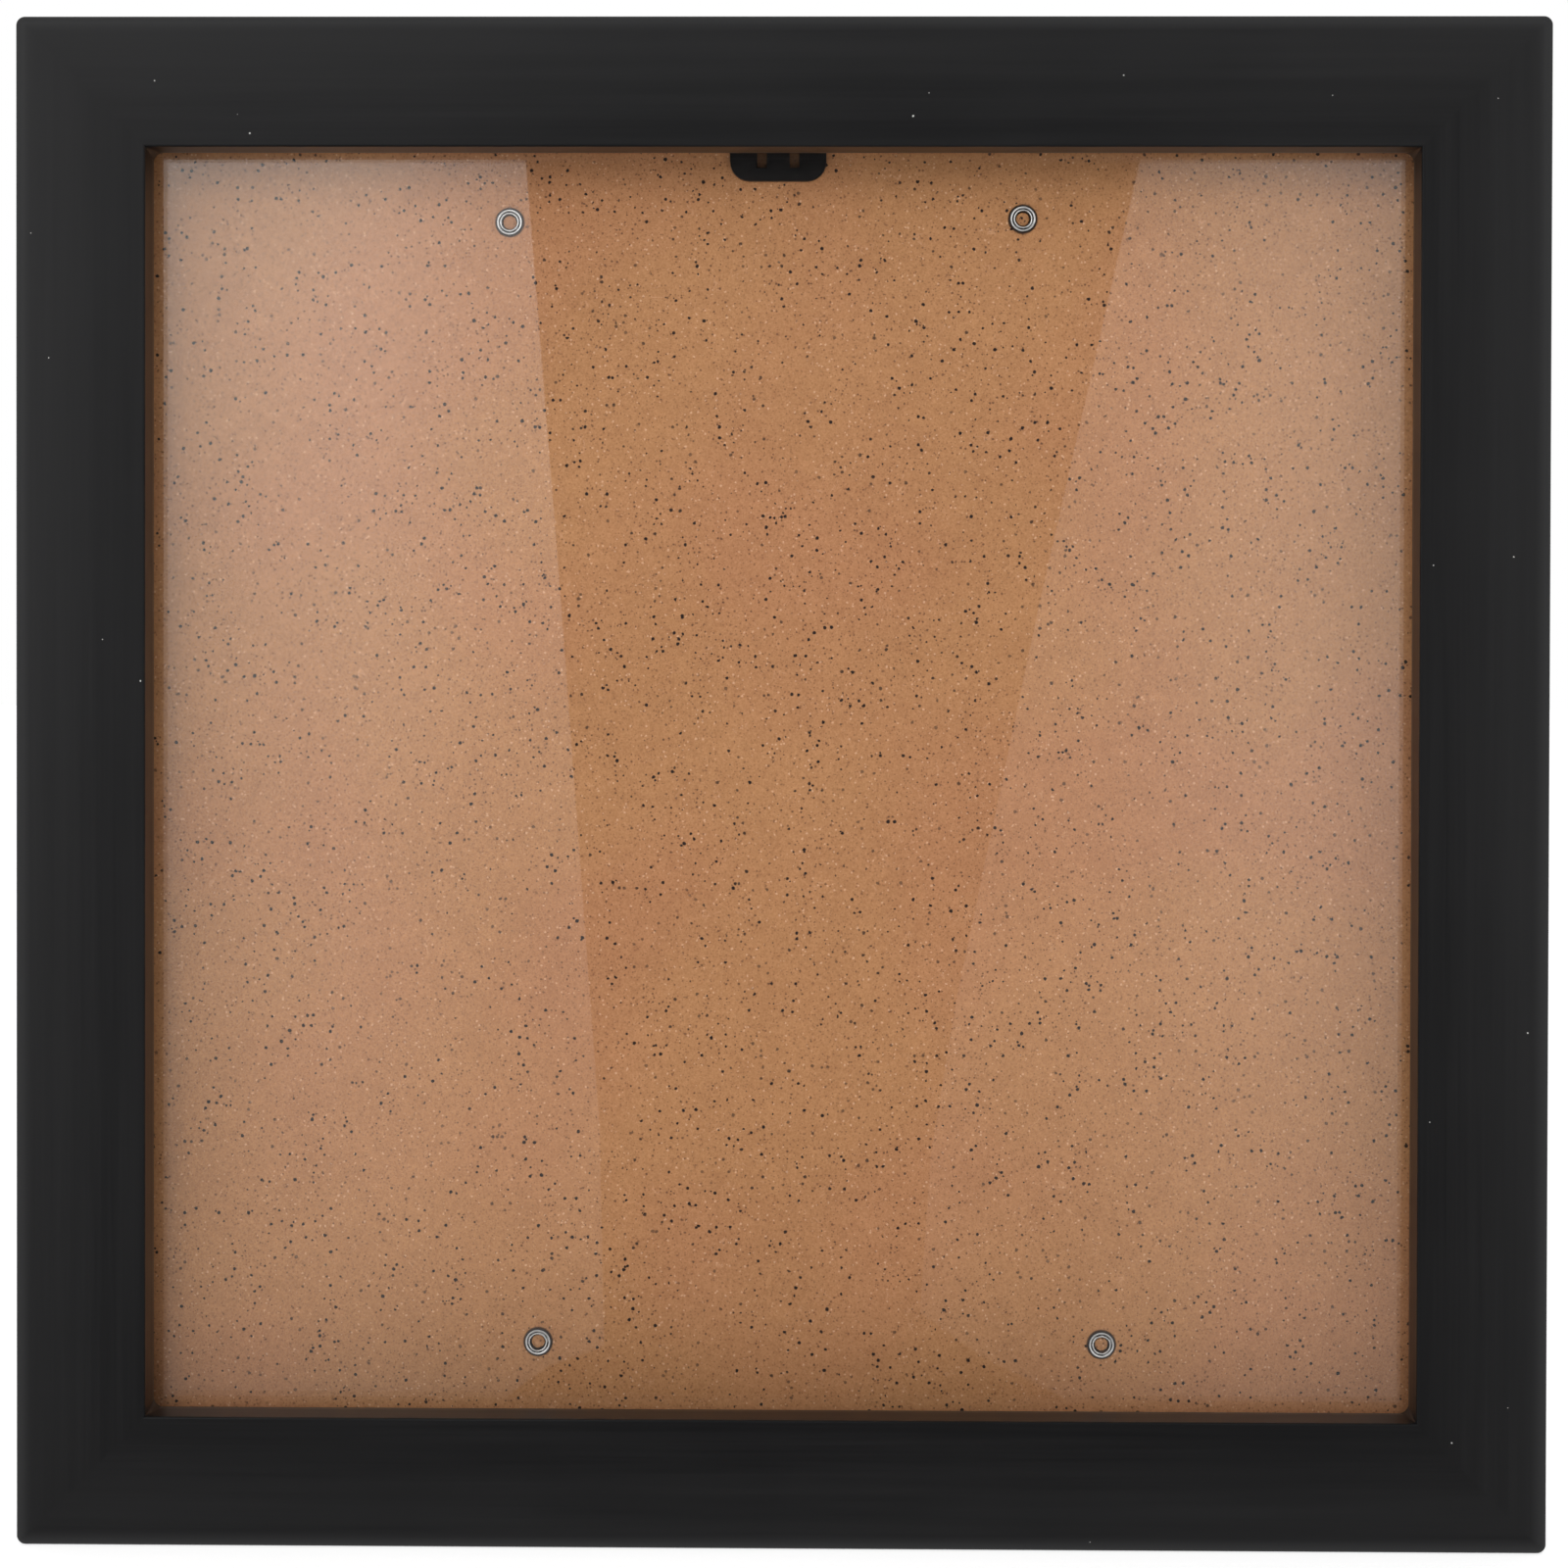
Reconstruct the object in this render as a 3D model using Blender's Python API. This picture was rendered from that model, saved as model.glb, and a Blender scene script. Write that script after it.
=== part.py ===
"""A square hanging shadow box: a mitred black moulding with a deep rebate, a clear pane behind its
lip, four spacer strips that hold the display space open, and a hardboard back that is held in by four
riveted turn buttons and carries a moulded wall hanger.

Units are metres and +Z is up. The box stands on its bottom rail with its front facing -Y. Inside the
assembly a place is given as (x, depth, z), with depth counted from the front face and x and z from the
middle of the square.
"""

import math

import bmesh
import bpy

MM = 0.001

# Driving dimensions of the moulding
OUTER = 292 * MM
DEPTH = 35 * MM
FACE_WIDTH = 25 * MM
LIP_DEPTH = 8 * MM
REBATE_HALF = 129.3 * MM
ARRIS_RADIUS = 2.0 * MM
INNER_ARRIS_RADIUS = 0.5 * MM
BACK_ARRIS = 0.6 * MM
MITRE_GAP = 0.2 * MM
KERF_FRONT = 27.6 * MM
KERF_BACK = 30.4 * MM
KERF_HALF = 134.6 * MM

# What lies in the rebate, from the lip backwards
GAP = 0.3 * MM
SIDE_CLEARANCE = 0.4 * MM
PANE_THICKNESS = 2.0 * MM
PANE_EASE = 0.25 * MM
SPACER_WIDTH = 3.0 * MM
SPACER_DEPTH = 13.6 * MM
SPACER_EASE = 0.3 * MM
BOARD_THICKNESS = 3.0 * MM

# Rivets and turn buttons: each place is (x, z) from the middle of the square
RIVET_PLACES = {
    "top_left": (-54.1 * MM, 109.9 * MM),
    "top_right": (47.3 * MM, 110.6 * MM),
    "bottom_left": (-48.2 * MM, -112.0 * MM),
    "bottom_right": (63.5 * MM, -112.0 * MM),
}
BUTTON_REACH = 21.6 * MM
BUTTON_WIDTH = 9.0 * MM
BUTTON_TIP_WIDTH = 7.0 * MM
BUTTON_THICKNESS = 0.9 * MM
BUTTON_TIP_ROUND = 2.0 * MM
BUTTON_TAIL_ANGLE = 174
BUTTON_STEPS = 14
BUTTON_CRANK = 0.6 * MM
CRANK_START = 7.0 * MM
CRANK_END = 10.0 * MM
TUBE_BORE = 1.5 * MM
TUBE_WALL = 0.35 * MM
TUBE_HOLLOW = 2.4 * MM
FLARE_RADIUS = 2.7 * MM
FLARE_HEIGHT = 0.5 * MM
HEAD_RADIUS = 3.5 * MM
HEAD_HEIGHT = 1.2 * MM
PLUG_CLEARANCE = 0.15 * MM
ROUND_SEGMENTS = 28
PLUG_SEGMENTS = 20

# Wall hanger
HANGER_X = -1.0 * MM
HANGER_TOP = 128.5 * MM
FLANGE_HALF = 9.5 * MM
FLANGE_BOTTOM = 117.9 * MM
FLANGE_THICKNESS = 1.3 * MM
FLANGE_CORNER = 3.9 * MM
SLOT_X = 3.2 * MM
SLOT_WIDTH = 1.9 * MM
SLOT_BOTTOM = 120.5 * MM
SLOT_TOP = 125.0 * MM
NECK_HALF = 7.6 * MM
NECK_BOTTOM = 125.6 * MM
PLATE_HALF = 12.0 * MM
PLATE_BOTTOM = 112.0 * MM
PLATE_THICKNESS = 1.4 * MM
PLATE_CORNER = 2.0 * MM
POST_WIDTH = 2.5 * MM
POST_HEIGHT = 2.6 * MM
POST_BOTTOM = 118.5 * MM
BAR_TOP = 126.5 * MM
BAR_BOTTOM = 121.0 * MM
BAR_THICKNESS = 1.8 * MM
TOOTH_COUNT = 7
TOOTH_DEPTH = 1.2 * MM

# Folded steel nails that tie the mitres, driven in from the back
NAIL_RADIUS = 140.4 * MM
NAIL_RISE = 3.4 * MM
NAIL_ARM = 4.2 * MM
NAIL_SHEET = 0.6 * MM
NAIL_LENGTH = 10.0 * MM
NAIL_SUNK = 0.2 * MM

# Worked out from the above
HALF = OUTER / 2
SIGHT_HALF = HALF - FACE_WIDTH
PANE_FRONT = LIP_DEPTH + GAP
PANE_BACK = PANE_FRONT + PANE_THICKNESS
SPACER_FRONT = PANE_BACK + GAP
SPACER_BACK = SPACER_FRONT + SPACER_DEPTH
BOARD_FRONT = SPACER_BACK + GAP
BOARD_BACK = BOARD_FRONT + BOARD_THICKNESS
INSERT_HALF = REBATE_HALF - SIDE_CLEARANCE
BUTTON_FRONT = BOARD_BACK + GAP
HEAD_FRONT = BUTTON_FRONT + BUTTON_THICKNESS + GAP
TUBE_RADIUS = TUBE_BORE + TUBE_WALL
FLARE_BACK = BOARD_FRONT - GAP / 2
FLARE_FRONT = FLARE_BACK - FLARE_HEIGHT
HOLLOW_END = FLARE_FRONT + TUBE_HOLLOW
FLANGE_BACK = BOARD_FRONT - GAP
FLANGE_FRONT = FLANGE_BACK - FLANGE_THICKNESS
PLATE_FRONT = BOARD_BACK + GAP
PLATE_BACK = PLATE_FRONT + PLATE_THICKNESS
BAR_FRONT = PLATE_BACK + POST_HEIGHT
BAR_BACK = BAR_FRONT + BAR_THICKNESS
OVERLAP = 0.2 * MM
SMOOTH_ANGLE = math.radians(35)
SIDES = {"rail_top": 0, "stile_right": 90, "rail_bottom": 180, "stile_left": 270}
CORNERS = {"top_right": 45, "bottom_right": 135, "bottom_left": 225, "top_left": 315}


def clear_scene():
    for thing in list(bpy.data.objects):
        bpy.data.objects.remove(thing, do_unlink=True)


def finish_material(name, colour, roughness, metallic=0.0, alpha=1.0):
    """A Principled material; colour is linear red, green and blue."""
    material = bpy.data.materials.new(name)
    material.use_nodes = True
    shader = material.node_tree.nodes["Principled BSDF"]
    shader.inputs["Base Color"].default_value = (*colour, 1.0)
    shader.inputs["Roughness"].default_value = roughness
    shader.inputs["Metallic"].default_value = metallic
    shader.inputs["Alpha"].default_value = alpha
    material.diffuse_color = (*colour, alpha)
    return material


def empty(name, parent=None, location=(0, 0, 0)):
    thing = bpy.data.objects.new(name, None)
    bpy.context.collection.objects.link(thing)
    thing.parent = parent
    thing.location = location
    return thing


def piece(name, mesh, parent, material, location=(0, 0, 0), turn=0):
    """Puts a mesh in the assembly; turn is in degrees about the front-to-back axis."""
    thing = bpy.data.objects.new(name, mesh)
    bpy.context.collection.objects.link(thing)
    thing.parent = parent
    thing.location = location
    thing.rotation_euler = (0, math.radians(turn), 0)
    if material and not mesh.materials:
        mesh.materials.append(material)
    return thing


def guide(name, mesh, parent, location=(0, 0, 0), turn=0):
    """A solid that only cuts or joins another one, and isn't part of the object."""
    thing = piece(name, mesh, parent, None, location, turn)
    thing.hide_render = True
    thing.display_type = "WIRE"
    return thing


def boolean(target, tool, operation):
    modifier = target.modifiers.new(tool.name, "BOOLEAN")
    modifier.operation = operation
    modifier.object = tool
    modifier.solver = "EXACT"


def mesh_from(build, name, smooth=False):
    """Makes a closed mesh from a bmesh, with its faces pointing out."""
    bmesh.ops.recalc_face_normals(build, faces=build.faces)
    mesh = bpy.data.meshes.new(name)
    build.to_mesh(mesh)
    build.free()
    if smooth:
        mesh.shade_smooth()
        mesh.set_sharp_from_angle(angle=SMOOTH_ANGLE)
    return mesh


def bridge(build, loops, closed_ends=True):
    """Skins consecutive loops of equal length, and caps the first and the last."""
    count = len(loops[0])
    for near, far in zip(loops, loops[1:]):
        for i in range(count):
            j = (i + 1) % count
            build.faces.new((near[i], near[j], far[j], far[i]))
    if closed_ends:
        build.faces.new(loops[0])
        build.faces.new(loops[-1])


def prism(name, outline, front, back):
    """A straight solid with an outline of (x, z) points, from one depth to another."""
    build = bmesh.new()
    loops = [[build.verts.new((x, depth, z)) for x, z in outline] for depth in (front, back)]
    bridge(build, loops)
    return mesh_from(build, name)


def block(name, low, high, ease=0.0):
    """A rectangular solid between two (x, depth, z) corners, with its edges eased."""
    build = bmesh.new()
    outline = [(low[0], low[2]), (high[0], low[2]), (high[0], high[2]), (low[0], high[2])]
    loops = [[build.verts.new((x, depth, z)) for x, z in outline] for depth in (low[1], high[1])]
    bridge(build, loops)
    bmesh.ops.recalc_face_normals(build, faces=build.faces)
    if ease:
        bmesh.ops.bevel(build, geom=build.edges[:], offset=ease, segments=1, affect="EDGES")
    return mesh_from(build, name)


def turned(name, profile, segments=ROUND_SEGMENTS):
    """Turns a profile of (radius, depth) points about the depth axis; its ends lie on the axis."""
    build = bmesh.new()
    rings = []
    for radius, depth in profile[1:-1]:
        angles = [math.tau * i / segments for i in range(segments)]
        rings.append([build.verts.new((radius * math.cos(a), depth, radius * math.sin(a))) for a in angles])
    bridge(build, rings, closed_ends=False)
    for (_, depth), ring in ((profile[0], rings[0]), (profile[-1], rings[-1])):
        tip = build.verts.new((0, depth, 0))
        for i in range(segments):
            build.faces.new((ring[i], ring[(i + 1) % segments], tip))
    return mesh_from(build, name, smooth=True)


def arc(centre, radius, start, end, steps):
    """Points on an arc, with both ends; angles in degrees."""
    points = []
    for i in range(steps + 1):
        angle = math.radians(start + (end - start) * i / steps)
        points.append((centre[0] + radius * math.cos(angle), centre[1] + radius * math.sin(angle)))
    return points


def moulding_section():
    """The moulding's outline as (distance from the middle of the square, depth) points."""
    front = ARRIS_RADIUS
    inner = INNER_ARRIS_RADIUS
    section = arc((HALF - front, front), front, 0, -90, 5)
    section += arc((SIGHT_HALF + inner, inner), inner, -90, -180, 2)
    section += [(SIGHT_HALF, LIP_DEPTH), (REBATE_HALF, LIP_DEPTH)]
    section += [(REBATE_HALF, KERF_FRONT), (KERF_HALF, KERF_FRONT)]
    section += [(KERF_HALF, KERF_BACK), (REBATE_HALF, KERF_BACK)]
    section += [(REBATE_HALF, DEPTH - BACK_ARRIS), (REBATE_HALF + BACK_ARRIS, DEPTH)]
    section += [(HALF - BACK_ARRIS, DEPTH), (HALF, DEPTH - BACK_ARRIS)]
    return section


def moulding_mesh():
    """One length of moulding, mitred at both ends, with the outer corner rounded in plan."""
    build = bmesh.new()
    section = moulding_section()
    stations = (45, 30, 15, 0)

    def station(side, angle):
        ring = []
        turn = math.radians(angle)
        for across, depth in section:
            round_radius = max(ARRIS_RADIUS - (HALF - across), 0)
            middle = across - round_radius
            along = middle + round_radius * math.sin(turn)
            height = middle + round_radius * math.cos(turn)
            ring.append(build.verts.new((side * (along - MITRE_GAP / 2), depth, height)))
        return ring

    loops = [station(-1, angle) for angle in stations]
    loops += [station(1, angle) for angle in reversed(stations)]
    bridge(build, loops)
    bmesh.ops.remove_doubles(build, verts=build.verts, dist=MM / 1000)
    return mesh_from(build, "moulding_length", smooth=True)


def nail_outline(spread):
    """A V seen from behind, pointing out along the mitre, with spread added all round."""
    sheet = NAIL_SHEET + 2 * spread
    arm = NAIL_ARM + spread
    point = NAIL_RADIUS * math.sqrt(2)
    rise = NAIL_RISE
    outer = [(-arm, point - rise + sheet / 2), (0, point + sheet / 2), (arm, point - rise + sheet / 2)]
    inner = [(x, z - sheet) for x, z in reversed(outer)]
    return outer + inner


def add_frame(root, wood, steel):
    """Four lengths of moulding and a V nail across the back of each mitre."""
    length = moulding_mesh()
    members = {}
    for name, turn in SIDES.items():
        members[name] = piece(name, length, root, wood, turn=turn)
    front = DEPTH - NAIL_SUNK - NAIL_LENGTH
    nail = prism("v_nail", nail_outline(0), front, DEPTH - NAIL_SUNK)
    pocket = prism("v_nail_pocket", nail_outline(GAP), front - GAP, DEPTH + MM)
    for corner, turn in CORNERS.items():
        piece("v_nail_" + corner, nail, root, steel, turn=turn)
        cutter = guide("pocket_" + corner, pocket, root, turn=turn)
        for name, side_turn in SIDES.items():
            apart = abs(side_turn - turn) % 360
            if min(apart, 360 - apart) == 45:
                boolean(members[name], cutter, "DIFFERENCE")


def add_pane(root, glass):
    low = (-INSERT_HALF, PANE_FRONT, -INSERT_HALF)
    high = (INSERT_HALF, PANE_BACK, INSERT_HALF)
    piece("glass_pane", block("glass_pane", low, high, ease=PANE_EASE), root, glass)


def add_spacers(root, black_strip):
    """Top and bottom strips run the full width, and the side strips stand between them."""
    inner = INSERT_HALF - SPACER_WIDTH
    side_half = inner - GAP
    spans = {
        "spacer_top": ((-INSERT_HALF, inner), (INSERT_HALF, INSERT_HALF)),
        "spacer_bottom": ((-INSERT_HALF, -INSERT_HALF), (INSERT_HALF, -inner)),
        "spacer_left": ((-INSERT_HALF, -side_half), (-inner, side_half)),
        "spacer_right": ((inner, -side_half), (INSERT_HALF, side_half)),
    }
    for name, (low, high) in spans.items():
        corners = (low[0], SPACER_FRONT, low[1]), (high[0], SPACER_BACK, high[1])
        strip = piece(name, block(name, *corners, ease=SPACER_EASE), root, black_strip)
        if name == "spacer_top":
            reach = FLANGE_HALF + 2 * GAP
            low = (HANGER_X - reach, FLANGE_FRONT - GAP, inner - MM)
            high = (HANGER_X + reach, SPACER_BACK + MM, INSERT_HALF + MM)
            notch = guide("flange_notch", block("flange_notch", low, high), root)
            boolean(strip, notch, "DIFFERENCE")


def add_board(panel, hardboard):
    """The back, with a notch in its top edge for the hanger and a hole for each rivet."""
    notch_half = NECK_HALF + GAP
    notch_bottom = NECK_BOTTOM - GAP
    half = INSERT_HALF
    outline = [(-half, -half), (half, -half), (half, half), (HANGER_X + notch_half, half)]
    outline += [(HANGER_X + notch_half, notch_bottom), (HANGER_X - notch_half, notch_bottom)]
    outline += [(HANGER_X - notch_half, half), (-half, half)]
    board = piece("backboard", prism("backboard", outline, BOARD_FRONT, BOARD_BACK), panel, hardboard)
    circle = arc((0, 0), TUBE_RADIUS + GAP, 0, 360, ROUND_SEGMENTS)[:-1]
    bit = prism("rivet_hole", circle, BOARD_FRONT - MM, BOARD_BACK + MM)
    for corner, (x, z) in RIVET_PLACES.items():
        boolean(board, guide("hole_" + corner, bit, panel, (x, 0, z)), "DIFFERENCE")


def rivet_profile():
    """Domed head behind the button, solid shank, then a tube flared over the board's front."""
    profile = [(0, HOLLOW_END), (TUBE_BORE, HOLLOW_END), (TUBE_BORE, FLARE_FRONT + FLARE_HEIGHT / 2)]
    roll = (FLARE_RADIUS - TUBE_BORE) / 2
    middle = TUBE_BORE + roll
    for across, depth in arc((0, 0), 1, 150, 30, 4):
        profile.append((middle + roll * across, FLARE_BACK - FLARE_HEIGHT * depth))
    profile += [(FLARE_RADIUS, FLARE_BACK), (TUBE_RADIUS, FLARE_BACK), (TUBE_RADIUS, HEAD_FRONT)]
    profile += [(HEAD_RADIUS, HEAD_FRONT), (HEAD_RADIUS, HEAD_FRONT + HEAD_HEIGHT / 4)]
    for across, rise in arc((0, 0), 1, 20, 70, 3):
        profile.append((HEAD_RADIUS * across, HEAD_FRONT + HEAD_HEIGHT * (1 + 3 * rise) / 4))
    profile.append((0, HEAD_FRONT + HEAD_HEIGHT))
    return profile


def add_rivets(panel, steel, hardboard):
    """Rivets, each with the plug of board that it punched out still inside its tube."""
    rivet = turned("rivet", rivet_profile())
    radius = TUBE_BORE - PLUG_CLEARANCE
    front = BOARD_FRONT + 2 * PLUG_CLEARANCE
    back = HOLLOW_END - PLUG_CLEARANCE
    ease = PLUG_CLEARANCE
    section = [(0, front), (radius - ease, front), (radius, front + ease), (radius, back), (0, back)]
    plug = turned("punched_plug", section, PLUG_SEGMENTS)
    for corner, (x, z) in RIVET_PLACES.items():
        piece("rivet_" + corner, rivet, panel, steel, (x, 0, z))
        piece("punched_plug_" + corner, plug, panel, hardboard, (x, 0, z))


def button_rows():
    """Half widths along a turn button, as (x, half width), from behind its rivet to its tip."""
    pivot_radius = BUTTON_WIDTH / 2
    tip_middle = BUTTON_REACH - BUTTON_TIP_ROUND
    tip_side = BUTTON_TIP_WIDTH / 2 - BUTTON_TIP_ROUND
    rows = arc((0, 0), pivot_radius, BUTTON_TAIL_ANGLE, 90, BUTTON_STEPS)
    rows += [(CRANK_START, pivot_radius), (CRANK_END, pivot_radius)]
    return rows + arc((tip_middle, tip_side), BUTTON_TIP_ROUND, 90, 0, 5)


def button_mesh():
    """A turn button pointing along +X from its rivet, cranked backwards towards its tip."""
    build = bmesh.new()
    rows = button_rows()

    def sheet(offset):
        grid = []
        for x, half in rows:
            share = min(max((x - CRANK_START) / (CRANK_END - CRANK_START), 0), 1)
            depth = BUTTON_FRONT + BUTTON_CRANK * share + offset
            grid.append([build.verts.new((x, depth, side * half)) for side in (-1, 1)])
        return grid

    front = sheet(0)
    back = sheet(BUTTON_THICKNESS)
    for near in range(len(rows) - 1):
        far = near + 1
        for grid in (front, back):
            build.faces.new((grid[near][0], grid[near][1], grid[far][1], grid[far][0]))
        for side in (0, 1):
            build.faces.new((front[near][side], front[far][side], back[far][side], back[near][side]))
    for end in (0, -1):
        build.faces.new((front[end][0], front[end][1], back[end][1], back[end][0]))
    return mesh_from(build, "turn_button")


def add_buttons(panel, steel):
    """Turn buttons on their rivets, turned sideways so that the back can come out."""
    button = button_mesh()
    circle = arc((0, 0), TUBE_RADIUS + GAP, 0, 360, ROUND_SEGMENTS)[:-1]
    bit = prism("button_hole", circle, BUTTON_FRONT - MM, BUTTON_FRONT + BUTTON_THICKNESS + MM)
    for corner, (x, z) in RIVET_PLACES.items():
        turn = 180 if corner.startswith("top") else 0
        name = "turn_button_" + corner
        lever = piece(name, button, panel, steel, (x, 0, z), turn=turn)
        boolean(lever, guide("bore_" + corner, bit, panel, (x, 0, z)), "DIFFERENCE")


def rounded_bottom(half, bottom, top, radius, steps=6):
    """A plate's outline with square top corners and rounded lower ones."""
    outline = arc((half - radius, bottom + radius), radius, 0, -90, steps)
    outline += arc((radius - half, bottom + radius), radius, -90, -180, steps)
    return outline + [(-half, top), (half, top)]


def toothed_bar():
    """The bar that the nail hooks under, with teeth along its lower edge."""
    outline = [(PLATE_HALF, BAR_TOP), (PLATE_HALF, BAR_BOTTOM)]
    teeth_half = PLATE_HALF - POST_WIDTH
    pitch = 2 * teeth_half / TOOTH_COUNT
    for i in range(TOOTH_COUNT):
        start = teeth_half - i * pitch
        outline += [(start, BAR_BOTTOM), (start - pitch / 2, BAR_BOTTOM + TOOTH_DEPTH)]
    outline += [(-teeth_half, BAR_BOTTOM), (-PLATE_HALF, BAR_BOTTOM), (-PLATE_HALF, BAR_TOP)]
    return outline


def add_hanger(panel, plastic):
    """A front flange, a neck through the board's notch, and a toothed hook plate behind."""
    at = (HANGER_X, 0, 0)
    plate = rounded_bottom(PLATE_HALF, PLATE_BOTTOM, HANGER_TOP, PLATE_CORNER)
    hanger = piece("wall_hanger", prism("hook_plate", plate, PLATE_FRONT, PLATE_BACK), panel, plastic, at)
    flange = rounded_bottom(FLANGE_HALF, FLANGE_BOTTOM, HANGER_TOP, FLANGE_CORNER)
    joined = {
        "neck": block(
            "neck",
            (-NECK_HALF, FLANGE_BACK - OVERLAP, NECK_BOTTOM),
            (NECK_HALF, PLATE_FRONT + OVERLAP, HANGER_TOP - OVERLAP),
        ),
        "flange": prism("flange", flange, FLANGE_FRONT, FLANGE_BACK),
    }
    for side, name in ((-1, "post_left"), (1, "post_right")):
        edges = sorted((side * (PLATE_HALF - OVERLAP), side * (PLATE_HALF - POST_WIDTH)))
        low = (edges[0], PLATE_BACK - OVERLAP, POST_BOTTOM)
        high = (edges[1], BAR_FRONT + OVERLAP, BAR_TOP - OVERLAP)
        joined[name] = block(name, low, high)
    joined["bar"] = prism("toothed_bar", toothed_bar(), BAR_FRONT, BAR_BACK)
    for name, mesh in joined.items():
        boolean(hanger, guide(name + "_solid", mesh, panel, at), "UNION")
    for side, name in ((-1, "slot_left"), (1, "slot_right")):
        low = (side * SLOT_X - SLOT_WIDTH / 2, FLANGE_FRONT - MM, SLOT_BOTTOM)
        high = (side * SLOT_X + SLOT_WIDTH / 2, FLANGE_BACK + GAP / 2, SLOT_TOP)
        boolean(hanger, guide(name, block(name, low, high), panel, at), "DIFFERENCE")


def main():
    clear_scene()
    wood = finish_material("black_satin_paint", (0.014, 0.014, 0.015), 0.42)
    strip = finish_material("black_strip", (0.012, 0.012, 0.012), 0.7)
    glass = finish_material("clear_glass", (0.9, 0.95, 0.93), 0.02, alpha=0.15)
    hardboard = finish_material("hardboard", (0.42, 0.2, 0.09), 0.75)
    steel = finish_material("plated_steel", (0.62, 0.62, 0.6), 0.3, metallic=1.0)
    plastic = finish_material("black_plastic", (0.01, 0.009, 0.009), 0.45)
    root = empty("shadow_box", location=(0, -DEPTH / 2, HALF))
    panel = empty("back_panel", root)
    add_frame(root, wood, steel)
    add_pane(root, glass)
    add_spacers(root, strip)
    add_board(panel, hardboard)
    add_rivets(panel, steel, hardboard)
    add_buttons(panel, steel)
    add_hanger(panel, plastic)


main()
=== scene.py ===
"""The finished look of a square hanging shadow box: satin black moulding, a clear pane, a brown hardboard
back with flared rivets, turn buttons and a moulded wall hanger.

Units are metres and +Z is up. The box stands on its bottom rail with its front facing -Y. A place inside it
is given as (x, depth, z), with depth counted from the front face and x and z from the middle of the square.
"""

import math
import random

import bmesh
import bpy
from mathutils import Matrix, Quaternion, Vector
from mathutils import noise


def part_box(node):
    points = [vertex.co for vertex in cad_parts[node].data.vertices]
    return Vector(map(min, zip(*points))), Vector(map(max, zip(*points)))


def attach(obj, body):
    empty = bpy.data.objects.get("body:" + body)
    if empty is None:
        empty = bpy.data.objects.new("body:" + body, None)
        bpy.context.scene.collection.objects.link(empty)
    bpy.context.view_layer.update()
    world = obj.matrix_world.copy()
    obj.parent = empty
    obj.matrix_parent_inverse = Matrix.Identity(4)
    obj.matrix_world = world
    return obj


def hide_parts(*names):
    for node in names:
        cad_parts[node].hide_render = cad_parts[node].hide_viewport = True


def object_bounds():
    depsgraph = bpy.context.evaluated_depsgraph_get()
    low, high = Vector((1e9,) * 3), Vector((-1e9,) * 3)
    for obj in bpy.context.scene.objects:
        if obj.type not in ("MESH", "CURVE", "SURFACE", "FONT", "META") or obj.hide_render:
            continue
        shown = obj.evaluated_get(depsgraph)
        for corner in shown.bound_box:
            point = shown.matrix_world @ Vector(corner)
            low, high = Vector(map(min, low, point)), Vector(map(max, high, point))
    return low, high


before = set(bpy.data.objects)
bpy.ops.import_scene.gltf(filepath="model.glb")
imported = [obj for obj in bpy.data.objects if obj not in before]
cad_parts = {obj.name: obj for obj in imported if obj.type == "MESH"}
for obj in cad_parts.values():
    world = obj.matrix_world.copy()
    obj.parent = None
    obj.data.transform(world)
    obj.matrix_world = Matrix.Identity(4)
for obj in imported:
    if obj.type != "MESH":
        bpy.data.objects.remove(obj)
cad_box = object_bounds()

MM = 0.001

# The whole box, read from the frame
LOW, HIGH = cad_box
HALF = (HIGH.x - LOW.x) / 2
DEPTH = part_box("rail_top")[1].y - LOW.y
MIDDLE = Vector((0, LOW.y, HALF))


def depth_of(node, end):
    """How deep a CAD node starts (end 0) or stops (end 1), counted from the front face."""
    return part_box(node)[end].y - LOW.y


# The moulding: halves are distances from the middle of the square, depths are from the front face
PANE_PLAY = 0.3 * MM
REBATE_PLAY = 0.4 * MM
SIGHT_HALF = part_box("rail_top")[0].z - HALF
LIP_DEPTH = depth_of("glass_pane", 0) - PANE_PLAY
REBATE_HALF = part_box("glass_pane")[1].x + REBATE_PLAY
KERF_FRONT = 27.6 * MM
KERF_BACK = 30.4 * MM
KERF_HALF = 134.6 * MM
RIM_WIDTH = 4.2 * MM
RIM_DROP = 1.9 * MM
RIM_STEPS = 14
PLAN_RADIUS = 1.7 * MM
BACK_PLAN_RADIUS = 0.7 * PLAN_RADIUS
INNER_ARRIS = 0.45 * MM
INNER_STEPS = 5
PAINT_FILLET = 1.9 * MM
FILLET_STEPS = 4
LIP_REAR_ARRIS = 0.25 * MM
BACK_ARRIS = 0.6 * MM
MITRE = 45
MITRE_STEPS = 8
SIDES = {"rail_top": 0, "stile_right": 90, "rail_bottom": 180, "stile_left": 270}
CORNERS = {"top_right": 45, "bottom_right": 135, "bottom_left": 225, "top_left": 315}
NAIL_CLEARANCE = 0.15 * MM

# The board and the hanger
BOARD_FRONT = depth_of("backboard", 0)
BOARD_BACK = depth_of("backboard", 1)
FLANGE_HALF = 9.3 * MM
FLANGE_BOTTOM = 118.1 * MM
SHADE_INSET = 0.5 * MM
SHADE_LIFT = 2.2 * MM
SCREEN_MESH = 1.25 * MM

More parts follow.
